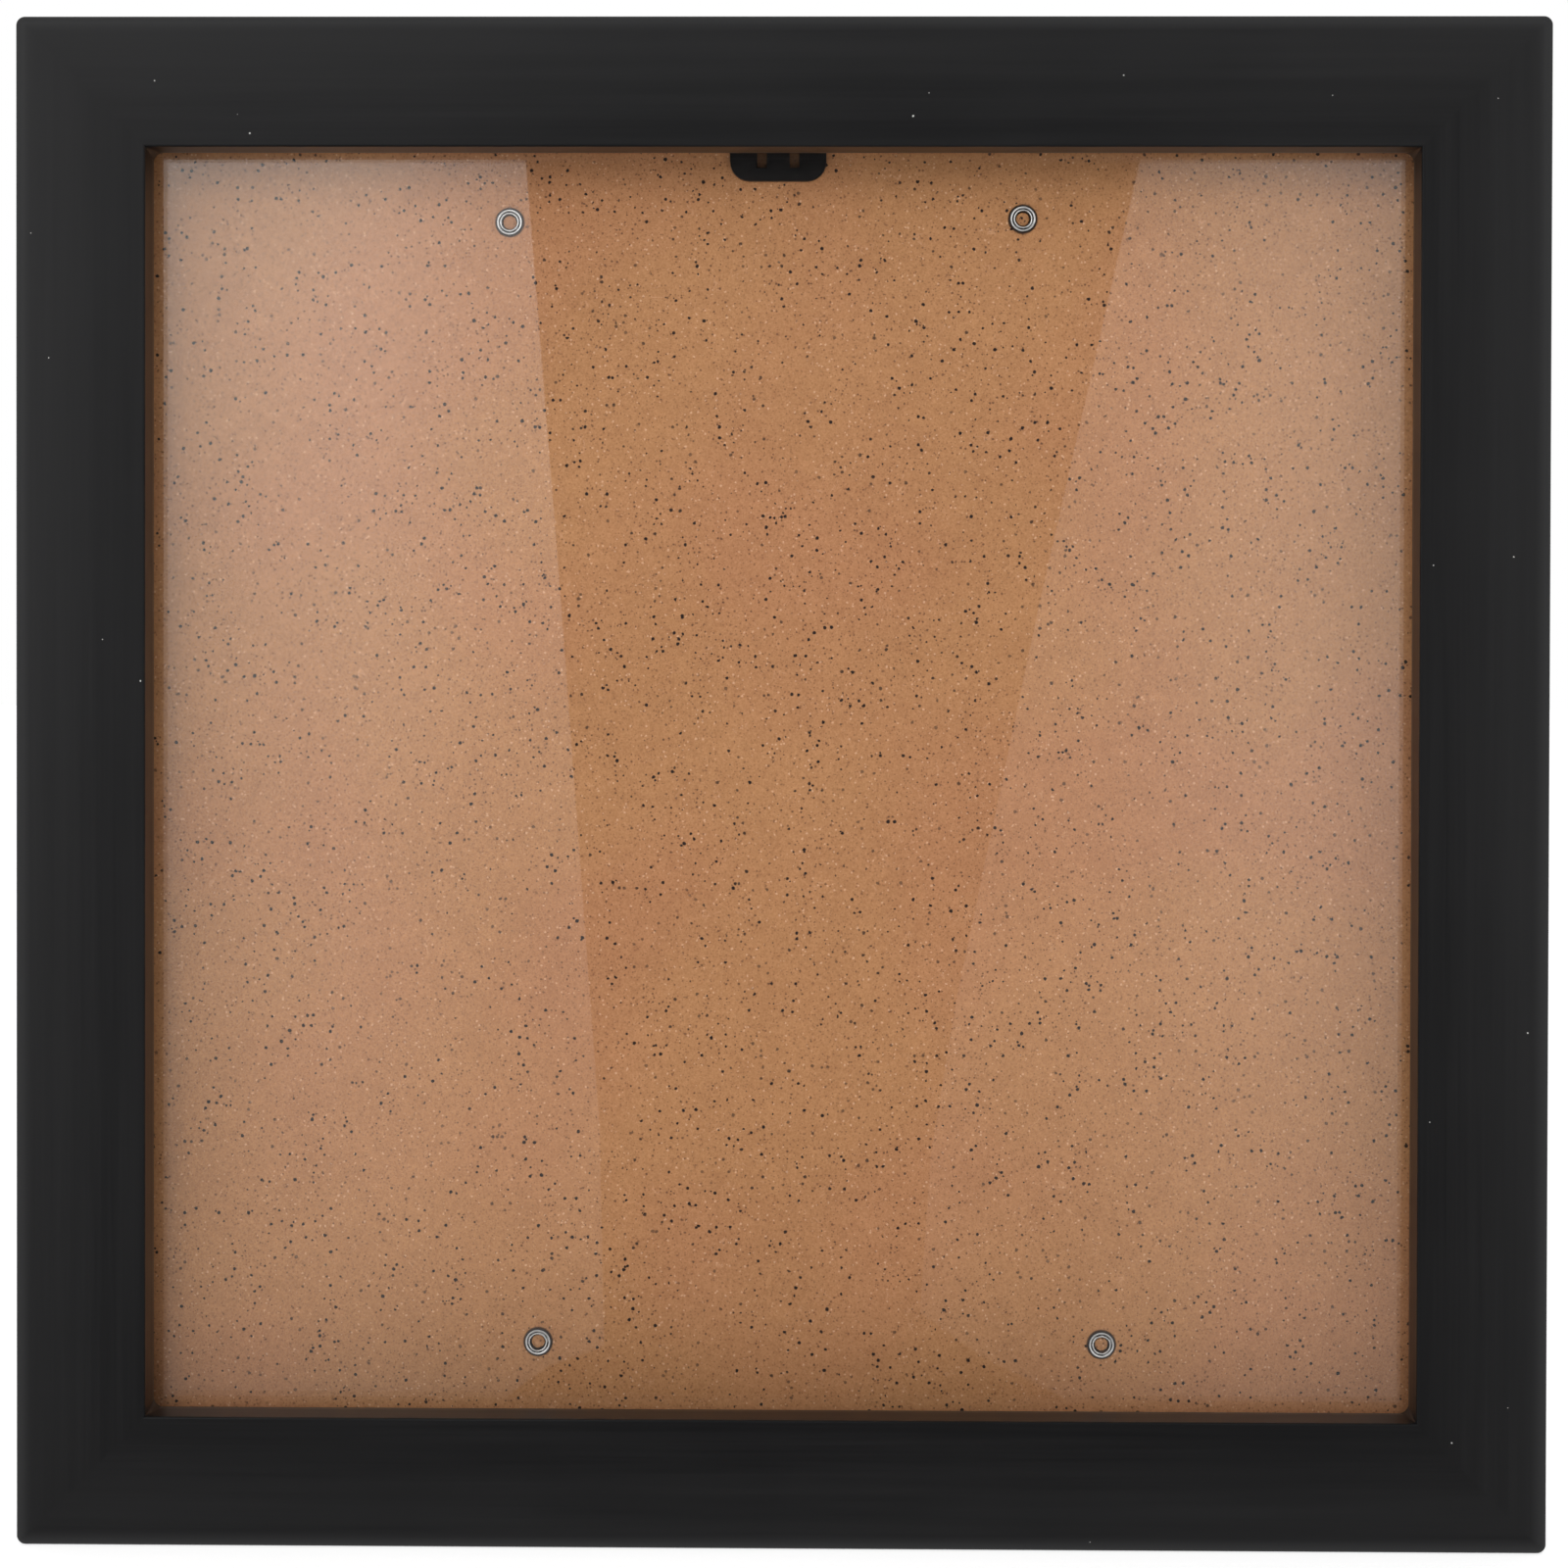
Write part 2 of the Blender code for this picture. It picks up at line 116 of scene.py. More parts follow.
# The rivets, the plugs inside them and the crumbs round them
RIVET_NAMES = ("top_left", "top_right", "bottom_left", "bottom_right")
BORE = 1.5 * MM
TUBE = 1.85 * MM
FLARE = 2.72 * MM
FLARE_RISE = 0.62 * MM
CREASE = 1.98 * MM
INNER_RING = 1.73 * MM
INNER_RING_SIZE = (0.22 * MM, 0.2 * MM)
OUTER_RING = 2.34 * MM
OUTER_RING_SIZE = (0.34 * MM, 0.3 * MM)
RING_STEPS = 10
SUNK = 0.15 * MM
HEAD = 3.5 * MM
HEAD_RISE = 1.2 * MM
HEAD_RIM = 0.28
HEAD_STEPS = 14
HEAD_LIFT = 1.5 * MM
TURNS = 72
DENTS = (2, 3, 5, 7)
PLUG_RADIUS = 1.36 * MM
PLUG_LENGTH = 1.3 * MM
PLUG_SUNK = 0.25 * MM
PLUG_TURNS = 40
CRUMBS = 34

# How far the edges of the smaller pieces are rounded, and how their meshes are cleaned
BOARD_EDGE = 0.15 * MM
PRESSED_EDGE = 0.22 * MM
MOULDED_EDGE = 0.22 * MM
STRIP_EDGE = 0.2 * MM
NAIL_EDGE = 0.08 * MM
WELD = 0.002 * MM
FACET_ANGLE = math.radians(1)
EASED_ANGLE = math.radians(40)
SMOOTH_ANGLE = math.radians(35)
FLAT_WEIGHT = 80

# The camera stands in front of the box, a little above its middle
CAMERA_PLACE = (8.1 * MM, -572.4 * MM, 30.0 * MM)
CAMERA_YAW = math.radians(-0.745)
CAMERA_PITCH = math.radians(0.6)
CAMERA_ROLL = math.radians(0.126)
CAMERA_LENS = 69.25
CAMERA_SHIFT = -0.08

# The studio: two white screens in front of the box with a dark gap between them. The edges of the gap are
# (x, z) in millimetres from the middle of the box, from top to bottom.
SCREEN_DEPTH = -600 * MM
SCREEN_HALF = 1300 * MM
GAP_LEFT = ((-120, 420), (-110, 217), (-96, 45), (-80, -168), (-78, -255), (-100, -263), (-130, -285))
GAP_RIGHT = ((175, 420), (133, 217), (93, 38), (61, -117), (51, -179), (47, -241), (71, -258), (125, -285))
CARD_DEPTH = SCREEN_DEPTH - 20 * MM
CARD_HALF = 400 * MM
FLOOR_HALF = 6.0
FLOOR_GLOW = 0.62
SKY_BASE = 0.3
SKY_FACING = 1.5
SKY_UP = 0.2
LAMP_PLACE = (-100 * MM, -1200 * MM, 300 * MM)
LAMP_SIZE = 400 * MM
LAMP_WATTS = 5.2


def axis_of(node):
    """The middle of a CAD node as seen from the front, at the depth of the front face."""
    low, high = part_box(node)
    return Vector(((low.x + high.x) / 2, LOW.y, (low.z + high.z) / 2))


def place(x, depth, z):
    """A point of the box in the frame's coordinates."""
    return MIDDLE + Vector((x, depth, z))


# ---------------------------------------------------------------- shaders


class Reading:
    """A value inside a finish. Python's operators on it add Math nodes."""

    def __init__(self, finish, socket):
        self.finish = finish
        self.socket = socket

    def math(self, operation, *values):
        """A Math node on the values, or on this one if none is given."""
        sockets = dict(enumerate(values or (self,)))
        return self.finish.node("Math", {"operation": operation}, sockets)

    def also(self, name):
        """Another output of the same node."""
        return Reading(self.finish, self.socket.node.outputs[name])

    def __add__(self, other):
        return self.math("ADD", self, other)

    __radd__ = __add__

    def __mul__(self, other):
        return self.math("MULTIPLY", self, other)

    __rmul__ = __mul__

    def __sub__(self, other):
        return self.math("SUBTRACT", self, other)

    def __rsub__(self, other):
        return self.math("SUBTRACT", other, self)

    def __truediv__(self, other):
        return self.math("DIVIDE", self, other)

    def __pow__(self, other):
        return self.math("POWER", self, other)

    def __lt__(self, other):
        return self.math("LESS_THAN", self, other)

    def __gt__(self, other):
        return self.math("GREATER_THAN", self, other)

    def __abs__(self):
        return self.math("ABSOLUTE")

    def sine(self):
        return self.math("SINE")

    def or_more(self, other):
        """The greater of the two values."""
        return self.math("MAXIMUM", self, other)

    def clipped(self):
        """The value kept between 0 and 1."""
        return self.math("MINIMUM", self.or_more(0.0), 1.0)


class Finish:
    """A node tree that is built up step by step."""

    def __init__(self, owner):
        owner.use_nodes = True
        self.owner = owner
        self.tree = owner.node_tree
        self.tree.nodes.clear()

    def node(self, kind, settings=None, sockets=None, out=0):
        """Adds a node, sets it up, then fills its sockets with numbers, colours or readings."""
        made = self.tree.nodes.new("ShaderNode" + kind)
        for name, value in (settings or {}).items():
            setattr(made, name, value)
        for key, value in (sockets or {}).items():
            if isinstance(value, Reading):
                self.tree.links.new(value.socket, made.inputs[key])
            else:
                made.inputs[key].default_value = value
        return Reading(self, made.outputs[out]) if made.outputs else made

    def where(self):
        """The point on the piece, in metres."""
        return self.node("TexCoord", out="Object")

    def split(self, point):
        """The X of a point, whose Y and Z are also there."""
        return self.node("SeparateXYZ", None, {0: point}, out="X")

    def facing(self):
        """How squarely the surface looks back (1), sideways (0) or to the front (-1)."""
        return self.split(self.node("TexCoord", out="Normal")).also("Y")

    def stretched(self, where, scale):
        """The point with each coordinate multiplied, so that a pattern is drawn out along one of them."""
        return self.node("VectorMath", {"operation": "MULTIPLY"}, {0: where, 1: scale})

    def flat(self, where):
        """The point as seen from the front, for patterns that lie on the faces."""
        apart = self.split(where)
        return self.node("CombineXYZ", None, {"X": apart, "Y": apart.also("Z")})

    def reach(self, face, node):
        """How far the point lies from the axis of a CAD node, as seen from the front."""
        axis = axis_of(node)
        ends = {0: face, 1: (axis.x, axis.z, 0.0)}
        return self.node("VectorMath", {"operation": "DISTANCE"}, ends, out="Value")

    def cloud(self, where, size, detail=2.0, harshness=0.5, distortion=0.0):
        """Soft noise from 0 to 1 whose patches are about size wide."""
        sockets = {"Vector": where, "Scale": 1 / size, "Detail": detail}
        sockets.update({"Roughness": harshness, "Distortion": distortion})
        return self.node("TexNoise", {"noise_dimensions": "3D"}, sockets)

    def grain(self, where, along, width, length, detail):
        """Noise whose patches are drawn out along one axis."""
        scale = [1 / width] * 3
        scale["xyz".index(along)] = 1 / length
        return self.cloud(self.stretched(where, scale), size=1.0, detail=detail)

    def ramp(self, value, start, end, low=0.0, high=1.0):
        """A smooth change from low to high as value goes from start to end."""
        sockets = {"Value": value, "From Min": start, "From Max": end, "To Min": low, "To Max": high}
        return self.node("MapRange", {"interpolation_type": "SMOOTHSTEP"}, sockets)

    def mixed(self, share, first, second, blend="MIX"):
        """The first colour with a share of the second mixed in."""
        settings = {"data_type": "RGBA", "blend_type": blend}
        return self.node("Mix", settings, {0: share, 6: first, 7: second}, out=2)

    def nudged(self, where, size, reach):
        """The point moved about by up to reach, in patches of size, to make outlines ragged."""
        sockets = {"Vector": where, "Scale": 1 / size, "Detail": 1.0}
        push = self.node("TexNoise", {"noise_dimensions": "3D"}, sockets, out="Color")
        centred = self.node("VectorMath", {"operation": "SUBTRACT"}, {0: push, 1: (0.5, 0.5, 0.5)})
        scaled = self.node("VectorMath", {"operation": "SCALE"}, {0: centred, "Scale": 2 * reach})
        return self.node("VectorMath", {"operation": "ADD"}, {0: where, 1: scaled})

    def flecks(self, where, spacing, share, radius, edge=0.3):
        """Scattered dots: a share of the cells hold one each, from a third of the radius up to all of it."""
        smallest = 0.35
        sockets = {"Vector": where, "Scale": 1 / spacing, "Randomness": 1.0}
        cell = self.node("TexVoronoi", {"voronoi_dimensions": "2D"}, sockets, out="Distance")
        lots = self.node("SeparateColor", None, {0: cell.also("Color")}, out="Blue")
        size = (lots.also("Green") * (1 - smallest) + smallest) * (radius / spacing)
        inside = ((size - cell) / (size * edge)).clipped()
        return inside * (lots < share)

    def bumped(self, height, depth, strength=1.0):
        """A surface normal pushed in and out by height, of which 1 stands depth high."""
        return self.node("Bump", None, {"Height": height, "Distance": depth, "Strength": strength})

    def coat(self, **sockets):
        """The Principled shader, with an underscore for each space in a socket's name."""
        named = {name.replace("_", " "): value for name, value in sockets.items()}
        return self.node("BsdfPrincipled", None, named)

    def light(self, kind, strength, brightest):
        """White light whose strength varies over the surface and never passes brightest."""
        glow = self.mixed(strength / brightest, grey(0.0), grey(1.0))
        return self.node(kind, None, {"Color": glow, "Strength": brightest})

    def finished(self, shader, output="OutputMaterial"):
        self.node(output, None, {"Surface": shader})
        return self.owner


def new_finish(name):
    return Finish(bpy.data.materials.new(name))


def colour(red, green, blue):
    return (red, green, blue, 1.0)


def grey(level):
    return colour(level, level, level)


def satin_paint(name, along):
    """Thin black paint over wood: fine grain along the length, a painted highlight that lightens the rim,
    and dried-in dust.

    Paint pools in the corners of the lip's wall and shines there. Behind, a dark line shows at each mitre.
    """
    paint = new_finish(name)
    where = paint.where()
    facing = paint.facing()
    hair = paint.grain(where, along, width=0.55 * MM, length=38 * MM, detail=3.0)
    streak = paint.grain(where, along, width=2.6 * MM, length=120 * MM, detail=2.0)
    pores = paint.cloud(where, size=0.28 * MM, detail=1.0)
    patches = paint.cloud(where, size=26 * MM)
    ragged = paint.nudged(paint.flat(where), size=0.4 * MM, reach=0.08 * MM)
    dust = paint.flecks(ragged, spacing=13 * MM, share=0.14, radius=0.24 * MM, edge=0.6)
    dust = dust * (facing < -0.9)
    across = paint.split(where)
    upward = across.also("Z") - HALF
    from_middle = abs(across).or_more(abs(upward))
    # Painted highlight: the face is coloured lighter towards its outer rim, as if lit there.
    rim_highlight = paint.ramp(from_middle, start=SIGHT_HALF, end=HALF, high=0.25)
    rim_highlight = rim_highlight + paint.ramp(from_middle, start=HALF - 3.4 * MM, end=HALF, high=0.75)
    mitre = paint.ramp(abs(abs(across) - abs(upward)), start=0.08 * MM, end=0.3 * MM, low=1.0, high=0.0)
    mitre = mitre * (facing > 0.9)
    tone = (streak * 1.3 + hair * 0.9 + patches * 0.6 - 0.9).clipped()
    black = paint.mixed(tone, colour(0.0027, 0.0027, 0.0031), colour(0.0072, 0.0071, 0.0075))
    # Mixes in the lighter black of the painted highlight at the rim.
    black = paint.mixed(rim_highlight, black, colour(0.024, 0.024, 0.0245))
    black = paint.mixed(dust, black, colour(0.5, 0.5, 0.48))
    black = paint.mixed(mitre * 0.85, black, grey(0.001))
    gloss = 0.34 + hair * 0.06 + streak * 0.08 + patches * 0.05
    height = hair * 0.45 + streak * 0.35 + pores * 0.2 + dust * 0.8 - mitre * 2.0
    pooled = (abs(facing) < 0.6) * (from_middle < SIGHT_HALF + INNER_ARRIS)
    shader = paint.coat(
        Base_Color=black, Roughness=gloss, Normal=paint.bumped(height, depth=0.045 * MM, strength=0.5),
        Specular_IOR_Level=0.17, Coat_Weight=pooled * 0.2, Coat_Roughness=0.28
    )
    return paint.finished(shader)


def board_chips(board, where, face):
    """What is pressed into the board: specks of bark in three sizes, pale chips and torn fibres."""
    ragged = board.nudged(face, size=0.5 * MM, reach=0.16 * MM)
    crowded = board.ramp(board.cloud(where, size=9 * MM), start=0.35, end=0.6, low=0.45)
    crossed = board.cloud(where, size=3.1 * MM, detail=1.0, distortion=1.4)
    strands = board.ramp(board.cloud(where, size=4.2 * MM, detail=1.0), start=0.58, end=0.7)
    frayed = board.nudged(face, size=0.3 * MM, reach=0.2 * MM)
    return {
        "crowded": crowded,
        "dark": board.flecks(ragged, spacing=1.1 * MM, share=0.105, radius=0.42 * MM),
        "bark": board.flecks(ragged, spacing=0.9 * MM, share=0.22, radius=0.32 * MM, edge=0.5),
        "faint": board.flecks(face, spacing=0.62 * MM, share=0.34, radius=0.26 * MM, edge=0.9),
        "pale": board.flecks(frayed, spacing=0.85 * MM, share=0.13, radius=0.27 * MM),
        "fibre": (1.0 - abs(crossed - 0.5) * 55.0).clipped() * strands,
    }


def board_front(board, tone, where, face, chips):
    """The smooth speckled brown, with painted shade in a ring round each rivet and behind the hanger's
    flange.
    """
    brown = board.mixed(tone, colour(0.29, 0.125, 0.045), colour(0.49, 0.245, 0.104))
    rosy = board.ramp(board.cloud(where, size=55 * MM, detail=1.0), start=0.4, end=0.65)
    brown = board.mixed(rosy, brown, colour(1.0, 0.955, 1.02), "MULTIPLY")
    brown = board.mixed(chips["faint"] * 0.7, brown, colour(0.16, 0.06, 0.022))
    brown = board.mixed(chips["bark"] * chips["crowded"] * 0.8, brown, colour(0.09, 0.032, 0.012))
    brown = board.mixed(chips["fibre"] * 0.35, brown, colour(0.66, 0.38, 0.22))
    brown = board.mixed(chips["pale"] * 0.45, brown, colour(0.74, 0.47, 0.3))
    dark = (chips["dark"] * chips["crowded"] * 1.3).clipped()
    brown = board.mixed(dark, brown, colour(0.014, 0.006, 0.004))
    for corner in RIVET_NAMES:
        reach = board.reach(face, "rivet_" + corner)
        # Painted shade: a dark ring on the board just outside each rivet's rolled mouth.
        rivet_ring_shade = board.ramp(reach, start=FLARE + 0.05 * MM, end=FLARE + 0.38 * MM, low=0.9, high=0.0)
        brown = board.mixed(rivet_ring_shade * (reach > TUBE), brown, colour(0.03, 0.013, 0.008))
    # Painted shade: the board is coloured darker behind the hanger's flange, where it shows through the
    # slots.
    across = board.split(face)
    flange_shade = abs(across - axis_of("wall_hanger").x) < FLANGE_HALF - SHADE_INSET
    flange_shade = flange_shade * (across.also("Y") > HALF + FLANGE_BOTTOM + SHADE_LIFT)
    return board.mixed(flange_shade * 0.7, brown, colour(0.03, 0.016, 0.009))


def board_behind(board, weave, felted, cloudy, broad, chips):
    """The rough back, printed with the mesh of the press screen."""
    brown = board.mixed(weave * 0.55, colour(0.17, 0.085, 0.042), colour(0.33, 0.175, 0.09))
    brown = board.mixed(felted * 0.6, brown, colour(0.2, 0.1, 0.05))
    brown = board.mixed(board.ramp(cloudy, start=0.35, end=0.7, high=0.3), brown, colour(0.13, 0.065, 0.032))
    brown = board.mixed(board.ramp(broad, start=0.38, end=0.62, high=0.35), brown, colour(0.31, 0.18, 0.1))
    specks = (chips["dark"] + chips["bark"] * 0.6).clipped()
    return board.mixed(specks * 0.7, brown, colour(0.05, 0.022, 0.012))


def hardboard():
    """Pressed brown fibre: smooth and speckled in front, marked by the press screen behind."""
    board = new_finish("brown hardboard")
    where = board.where()
    face = board.flat(where)
    facing = board.facing()
    behind = facing > 0.5
    edge = abs(facing) < 0.5
    broad = board.cloud(where, size=42 * MM)
    cloudy = board.cloud(where, size=7 * MM, detail=3.0, harshness=0.6)
    felted = board.cloud(where, size=1.3 * MM, detail=3.0, harshness=0.65, distortion=0.6)
    fine = board.cloud(where, size=0.42 * MM, harshness=0.6)
    tone = (broad * 0.3 + cloudy * 0.4 + felted * 0.5 + fine * 1.3 - 0.75).clipped()
    chips = board_chips(board, where, face)
    across = board.split(where)
    wires = math.tau / SCREEN_MESH
    weave = (across * wires).sine() * (across.also("Z") * wires).sine() * 0.5 + 0.5
    front = board_front(board, tone, where, face, chips)
    brown = board.mixed(behind, front, board_behind(board, weave, felted, cloudy, broad, chips))
    brown = board.mixed(edge * 0.6, brown, colour(0.2, 0.09, 0.04))
    height = fine * 0.3 + felted * 0.3 + chips["fibre"] * 0.2 - chips["dark"] * 0.6 + chips["pale"] * 0.3
    height = height * (1.0 - behind) + (weave * 2.2 + felted) * behind
    normal = board.bumped(height, depth=0.06 * MM, strength=0.6)
    gloss = 0.55 + felted * 0.15 + behind * 0.2
    shader = board.coat(Base_Color=brown, Roughness=gloss, Normal=normal, Specular_IOR_Level=0.3)
    return board.finished(shader)


def clear_glass():
    """Clear glass: each face mirrors 4 % straight on and more and more towards a grazing view."""
    straight_on = 0.04
    glass = new_finish("clear glass")
    slant = glass.node("LayerWeight", None, {"Blend": 0.5}, out="Facing")
    mirrored = straight_on + (1 - straight_on) * slant ** 5.0
    opened = glass.node("BsdfTransparent")
    mirror = glass.node("BsdfGlossy", None, {"Color": grey(1.0), "Roughness": 0.0})
    return glass.finished(glass.node("MixShader", None, {0: mirrored, 1: opened, 2: mirror}))


def mouth_painted_shade(zinc, where, rivet):
    """Painted shade on a rivet's mouth: dark in the crease between its rings, round its edge and in its
    bore.
    """
    reach = zinc.reach(zinc.flat(where), rivet)
    patchy = zinc.ramp(zinc.cloud(where, size=1.1 * MM, detail=1.0), start=0.35, end=0.6, low=0.6)
    crease = zinc.ramp(abs(reach - CREASE), start=0.1 * MM, end=0.24 * MM, low=1.0, high=0.0)
    outline = zinc.ramp(reach, start=FLARE - 0.4 * MM, end=FLARE - 0.2 * MM)
    bore = zinc.ramp(reach, start=BORE + 0.05 * MM, end=BORE + 0.16 * MM, low=1.0, high=0.0)
    return (crease * patchy + outline + bore).clipped()


def zinc_plate(name, darker, brighter, satin, rivet=None):
    """Plated steel with fine rub marks. A rivet's mouth is frosted, with painted shade in its hollows, and
    its head is dull.
    """
    zinc = new_finish(name)
    where = zinc.where()
    dulled = zinc.cloud(where, size=1.6 * MM, detail=3.0)
    rubbed = zinc.cloud(zinc.stretched(where, (1.0, 1.0, 14.0)), size=1.2 * MM, detail=3.0)
    spangle = zinc.ramp(zinc.cloud(where, size=3.5 * MM, distortion=0.8), start=0.35, end=0.65)
    steel = zinc.mixed(dulled * 0.6 + spangle * 0.4, darker, brighter)
    gloss = satin + dulled * 0.12 + rubbed * 0.08
    metal = 1.0
    if rivet:
        in_front = zinc.split(where).also("Y") < LOW.y + BOARD_FRONT
        mouth_shade = mouth_painted_shade(zinc, where, rivet) * in_front
        steel = zinc.mixed(in_front, colour(0.42, 0.42, 0.415), steel)
        # Painted shade: the mouth's crease, outer edge and bore are coloured nearly black.
        steel = zinc.mixed(mouth_shade * 0.96, steel, colour(0.012, 0.01, 0.009))
        gloss = gloss + (1.0 - in_front) * 0.16 + mouth_shade * 0.3
        metal = 1.0 - in_front * 0.4
    normal = zinc.bumped(rubbed + dulled, depth=0.012 * MM, strength=0.5)
    return zinc.finished(zinc.coat(Base_Color=steel, Roughness=gloss, Metallic=metal, Normal=normal))


def moulded_plastic():
    """Black plastic with the fine grain of its mould."""
    plastic = new_finish("moulded black plastic")
    where = plastic.where()
    grain = plastic.cloud(where, size=0.22 * MM)
    patches = plastic.cloud(where, size=5 * MM)
    black = plastic.mixed(patches, colour(0.006, 0.0055, 0.0055), colour(0.011, 0.01, 0.01))
    gloss = 0.42 + grain * 0.1 + patches * 0.08
    normal = plastic.bumped(grain, depth=0.02 * MM, strength=0.5)
    shader = plastic.coat(Base_Color=black, Roughness=gloss, Normal=normal, Specular_IOR_Level=0.3)
    return plastic.finished(shader)


def stained_strip():
    """Spacer strips of black stained fibre."""
    stain = new_finish("black stained strip")
    where = stain.where()
    felted = stain.cloud(where, size=0.8 * MM, detail=3.0)
    patches = stain.cloud(where, size=12 * MM)
    tone = felted * 0.6 + patches * 0.4
    black = stain.mixed(tone, colour(0.008, 0.0075, 0.007), colour(0.022, 0.02, 0.018))
    normal = stain.bumped(felted, depth=0.05 * MM, strength=0.6)
    shader = stain.coat(Base_Color=black, Roughness=0.6 + felted * 0.2, Normal=normal)
    return stain.finished(shader)


def studio_white():
    """The pale floor, which glows a little so that it stays pale far from the box."""
    white = new_finish("pale studio floor")
    faint = white.cloud(white.where(), size=400 * MM, detail=1.0)
    pale = white.mixed(faint, grey(0.8), grey(0.84))
    shader = white.coat(
        Base_Color=pale, Roughness=0.9, Emission_Color=grey(1.0), Emission_Strength=FLOOR_GLOW
    )
    return white.finished(shader)


def screen_glow(name, gap_side, far_side, dimmed, base, low_gain, high_gain):
    """A lit white screen, dimmed towards the gap and weaker towards the floor."""
    screen = new_finish(name)
    across = screen.split(screen.where())
    height = across.also("Z") - HALF
    sideways = screen.ramp(across, start=gap_side, end=far_side, low=dimmed)
    low = screen.ramp(height, start=-330 * MM, end=60 * MM)
    high = screen.ramp(height, start=-60 * MM, end=220 * MM)
    strength = sideways * (base + low * low_gain + high * high_gain)
    return screen.finished(screen.light("Emission", strength, base + low_gain + high_gain))


def unlit_card():
    card = new_finish("dark gap")
    return card.finished(card.node("Emission", None, {"Strength": 0.0}))


# ---------------------------------------------------------------- meshes


def piece(name, mesh, body, finish, replaced=()):
    """Puts a finished mesh on a body of the frame."""
    thing = bpy.data.objects.new(name, mesh)
    bpy.context.scene.collection.objects.link(thing)
    mesh.materials.clear()
    mesh.materials.append(finish)
    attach(thing, body)
    if replaced:
        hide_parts(*replaced)
    return thing


def mesh_from(build, name):
    """Closes a bmesh into a mesh with its faces pointing out and its round parts smooth."""
    bmesh.ops.recalc_face_normals(build, faces=build.faces)
    mesh = bpy.data.meshes.new(name)
    build.to_mesh(mesh)
    build.free()
    mesh.shade_smooth()
    mesh.set_sharp_from_angle(angle=SMOOTH_ANGLE)
    return mesh


def applied(thing):
    """Swaps an object's mesh for what its modifiers make of it."""
    held = bpy.context.evaluated_depsgraph_get()
    mesh = bpy.data.meshes.new_from_object(thing.evaluated_get(held))
    thing.modifiers.clear()
    thing.data = mesh
    return thing


def even_shading(thing):
    """Keeps broad flat faces flat where they run into a rounded edge."""
    weighted = thing.modifiers.new("even_shading", "WEIGHTED_NORMAL")
    weighted.keep_sharp = True
    weighted.weight = FLAT_WEIGHT
    return thing


def arc(centre, radius, start, end, steps):
    """Points on an arc, with both ends; radius may be a pair for an oval, and angles are in degrees."""
    wide, tall = radius if isinstance(radius, tuple) else (radius, radius)
    points = []
    for i in range(steps + 1):
        angle = math.radians(start + (end - start) * i / steps)
        points.append((centre[0] + wide * math.cos(angle), centre[1] + tall * math.sin(angle)))
    return points


def bridge(build, loops, closed_ends=True):
    """Skins consecutive loops of equal length, and caps the first and the last."""
    count = len(loops[0])
    for near, far in zip(loops, loops[1:]):
        for i in range(count):
            j = (i + 1) % count
            build.faces.new((near[i], near[j], far[j], far[i]))
    if closed_ends:
        build.faces.new(loops[0])
        build.faces.new(loops[-1])


def turned(name, profile, centre, wobble, segments=TURNS):
    """Turns a profile of (radius, depth) points about a front-to-back axis; its ends lie on the axis."""
    build = bmesh.new()
    rings = []
    for radius, depth in profile[1:-1]:
        ring = []
        for i in range(segments):
            angle = math.tau * i / segments
            reach = radius * (1 + wobble(angle, radius))
            point = Vector((reach * math.cos(angle), depth, reach * math.sin(angle)))
            ring.append(build.verts.new(centre + point))
        rings.append(ring)
    bridge(build, rings, closed_ends=False)
    for (_, depth), ring in ((profile[0], rings[0]), (profile[-1], rings[-1])):
        tip = build.verts.new(centre + Vector((0, depth, 0)))
        for i in range(segments):
            build.faces.new((ring[i], ring[(i + 1) % segments], tip))
    return mesh_from(build, name)


def welded(node):
    """A CAD node's own shape as a bmesh, with the corners of its facets joined."""
    build = bmesh.new()
    build.from_mesh(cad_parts[node].data)
    bmesh.ops.remove_doubles(build, verts=build.verts, dist=WELD)
    return build


def eased_copy(node, name, width, body, finish, segments=3):
    """A CAD node's own shape with its flat facets joined and its edges rounded over."""
    build = welded(node)
    bmesh.ops.dissolve_limit(
        build, angle_limit=FACET_ANGLE, verts=build.verts, edges=build.edges, delimit=set()
    )
    thing = piece(name, mesh_from(build, name), body, finish, (node,))
    rounding = thing.modifiers.new("eased_edges", "BEVEL")
    rounding.width = width
    rounding.segments = segments
    rounding.limit_method = "ANGLE"
    rounding.angle_limit = EASED_ANGLE
    rounding.use_clamp_overlap = True
    rounding.harden_normals = False
    applied(thing)
    thing.data.shade_smooth()
    thing.data.set_sharp_from_angle(angle=SMOOTH_ANGLE)
    return applied(even_shading(thing))


# ---------------------------------------------------------------- the pieces


